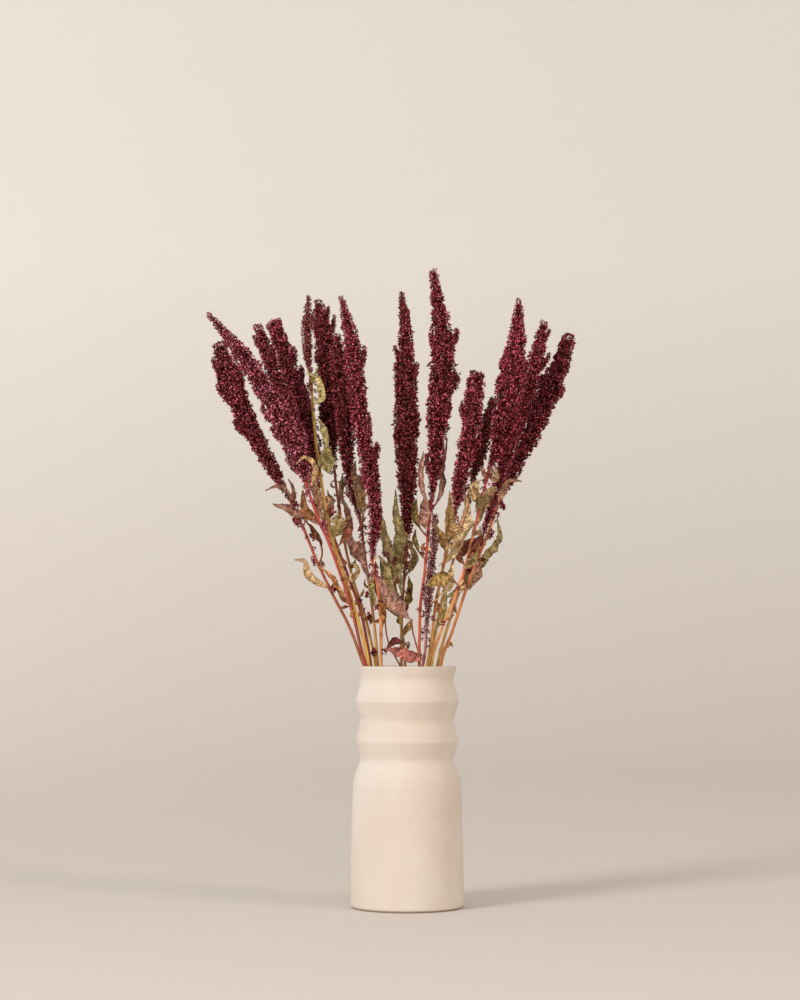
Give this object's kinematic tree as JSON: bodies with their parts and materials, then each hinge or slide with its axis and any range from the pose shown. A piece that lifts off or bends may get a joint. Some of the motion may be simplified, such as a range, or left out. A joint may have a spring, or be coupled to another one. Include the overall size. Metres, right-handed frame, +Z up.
{
  "type": "vase of dried amaranth",
  "caption": "Fan of dried burgundy amaranth plumes on thin leafy stems, standing loose in a matte cream ceramic vase with a grooved neck.",
  "frame": {"origin": "middle of the vase's flat base, on the surface it stands on", "axes": "+Z up along the vase's axis; -Y faces the viewer of the reference view; +X to that viewer's right"},
  "size_m": [0.3856, 0.2783, 0.6617],
  "materials": {
    "ceramic": "matte unglazed bisque with fine throwing lines",
    "stems_red": "matt dry stem, red above and straw below",
    "stems_pale": "matt dry straw-coloured stem",
    "leaves": "matt crisp dried leaf, olive, straw and mauve-brown",
    "plumes_red": "matt dense burgundy florets",
    "plumes_mauve": "matt dense mauve-pink florets"
  },
  "bodies": {
    "root": {"vase": "ceramic", "leafy_stem_a": "stems_red", "plume_a": "plumes_mauve", "leafy_stem_b": "stems_red", "plume_b": "plumes_red", "leafy_stem_c": "stems_red", "plume_c": "plumes_red", "leafy_stem_d": "stems_red", "plume_d": "plumes_red", "leafy_stem_e": "stems_pale", "plume_e": "plumes_mauve", "leafy_stem_f": "stems_pale", "plume_f": "plumes_red", "leafy_stem_g": "stems_red", "plume_g": "plumes_red", "leafy_stem_h": "stems_red", "plume_h": "plumes_red", "leafy_stem_i": "stems_pale", "plume_i": "plumes_red", "leafy_stem_j": "stems_red", "plume_j": "plumes_red", "leafy_stem_k": "stems_pale", "plume_k": "plumes_red", "leafy_stem_l": "stems_pale", "plume_l": "plumes_red", "leafy_stem_m": "stems_red", "plume_m": "plumes_red", "leafy_stem_n": "stems_pale", "plume_n": "plumes_red", "leafy_stem_o": "stems_red", "plume_o": "plumes_red", "leafy_stem_p": "stems_red", "plume_p": "plumes_mauve", "leafy_stem_q": "stems_red"}
  },
  "joints": []
}
